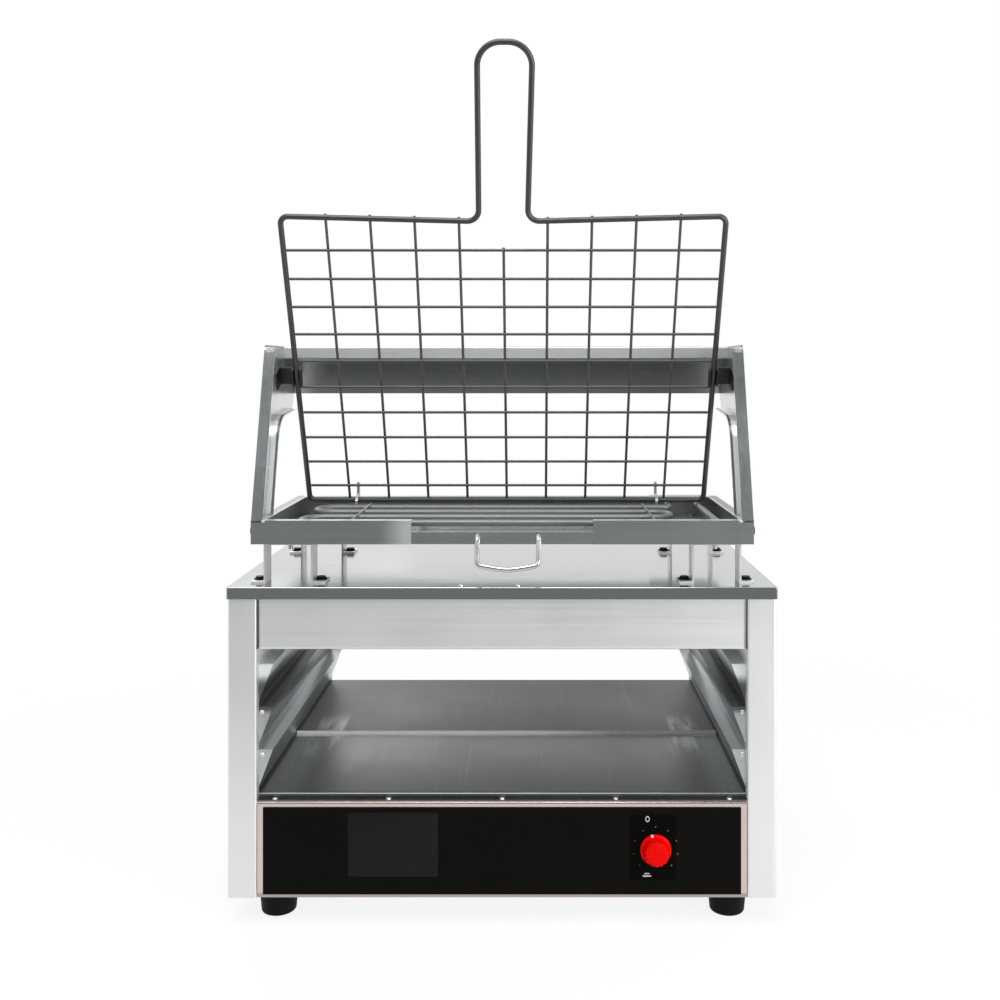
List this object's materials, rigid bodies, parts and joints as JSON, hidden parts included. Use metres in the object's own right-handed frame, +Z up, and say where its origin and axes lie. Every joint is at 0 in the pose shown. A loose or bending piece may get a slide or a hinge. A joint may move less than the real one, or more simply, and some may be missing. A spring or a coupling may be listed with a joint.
{
  "type": "countertop toaster",
  "caption": "Stainless countertop toaster: open warming cabinet on feet, raised toasting tray with arms and hood, and a hinged wire basket.",
  "frame": {"origin": "centre of the footprint at the level the feet stand on", "axes": "+X to the user's right, +Y from the user towards the back, +Z up"},
  "size_m": [0.552, 0.4738, 0.8758],
  "materials": {
    "satin_cabinet_steel": "satin-brushed stainless sheet, vertical grain on the columns, level grain on the header",
    "polished_top_steel": "finely polished stainless sheet that mirrors what stands on it",
    "bay_steel": "duller mill-finish stainless sheet with faint rolling lines and heat haze",
    "zinc_sheet": "zinc-coated sheet, soft grey spangle",
    "fascia_trim_steel": "bright-rolled stainless edge round the black panel",
    "black_gloss_panel": "gloss black plastic overlay",
    "red_knob_plastic": "red moulded plastic, gloss with a soft skirt",
    "plated_pin": "bright zinc-plated steel",
    "black_rubber": "moulded black rubber",
    "black_bolt": "black-oxide steel",
    "bright_screw": "bright plated steel",
    "tray_steel": "brushed stainless sheet seen darker, level grain, slight heat tint near the element",
    "arm_steel": "brushed stainless sheet, grain along the arm",
    "basket_wire": "drawn steel wire, dull plated grey",
    "pull_wire": "bright drawn steel wire",
    "element_sheath": "heat-darkened alloy tube",
    "ceramic": null,
    "thermostat_case": "brown phenolic moulding",
    "gland_plastic": "black nylon",
    "block_plastic": "cream nylon terminal strip",
    "spring_steel": "dark tempered spring steel"
  },
  "bodies": {
    "cabinet": {"arm_bolts": "bright_screw", "bottom_pan": "zinc_sheet", "cabinet_gland": "gland_plastic", "cabinet_heater": "element_sheath", "drawer_guides": "tray_steel", "element_bushes": "ceramic", "element_supports": "tray_steel", "fascia_frame": "fascia_trim_steel", "fascia_panel": "black_gloss_panel", "fascia_screws": "bright_screw", "foot_screws": "bright_screw", "front_floor_plate": "bay_steel", "front_header": "satin_cabinet_steel", "front_left_foot": "black_rubber", "front_left_stand_off": "satin_cabinet_steel", "front_right_foot": "black_rubber", "front_right_stand_off": "satin_cabinet_steel", "heater_bracket": "zinc_sheet", "hood": "arm_steel", "hood_bolts": "bright_screw", "left_arm": "arm_steel", "left_heater_clip": "zinc_sheet", "left_hinge_lug": "bright_screw", "left_rack_liner": "bay_steel", "left_rest_clip": "spring_steel", "left_side_panel": "satin_cabinet_steel", "rear_floor_plate": "bay_steel", "rear_header": "satin_cabinet_steel", "rear_left_foot": "black_rubber", "rear_left_stand_off": "satin_cabinet_steel", "rear_panel": "zinc_sheet", "rear_panel_screws": "bright_screw", "rear_right_foot": "black_rubber", "rear_right_stand_off": "satin_cabinet_steel", "right_arm": "arm_steel", "right_heater_clip": "zinc_sheet", "right_hinge_lug": "bright_screw", "right_rack_liner": "bay_steel", "right_rest_clip": "spring_steel", "right_side_panel": "satin_cabinet_steel", "stand_off_bolts": "black_bolt", "terminal_block": "block_plastic", "terminal_cover": "tray_steel", "thermostat": "thermostat_case", "toasting_element": "element_sheath", "toasting_tray": "tray_steel", "top_plate": "polished_top_steel", "top_plate_screws": "bright_screw", "tray_bolts": "bright_screw", "tray_gland": "gland_plastic"},
    "basket": {"basket_frame": "basket_wire", "basket_long_wires": "basket_wire", "basket_cross_wires": "basket_wire"},
    "drawer": {"crumb_drawer": "tray_steel", "drawer_pull": "pull_wire"},
    "knob": {"thermostat_knob": "red_knob_plastic", "knob_shaft": "plated_pin"}
  },
  "joints": [
    {"name": "basket_hinge", "type": "hinge", "parent": "cabinet", "child": "basket", "pos_m": [0, 0.00038, 0.403], "axis": [1, 0, 0], "range_deg": [0, 61.8]},
    {"name": "drawer_slide", "type": "slide", "parent": "cabinet", "child": "drawer", "axis": [0, -1, 0], "range_m": [0, 0.15]},
    {"name": "knob_turn", "type": "hinge", "parent": "cabinet", "child": "knob", "pos_m": [0.1536, -0.19562, 0.0766], "axis": [0, 1, 0], "range_deg": [0, 270]}
  ]
}
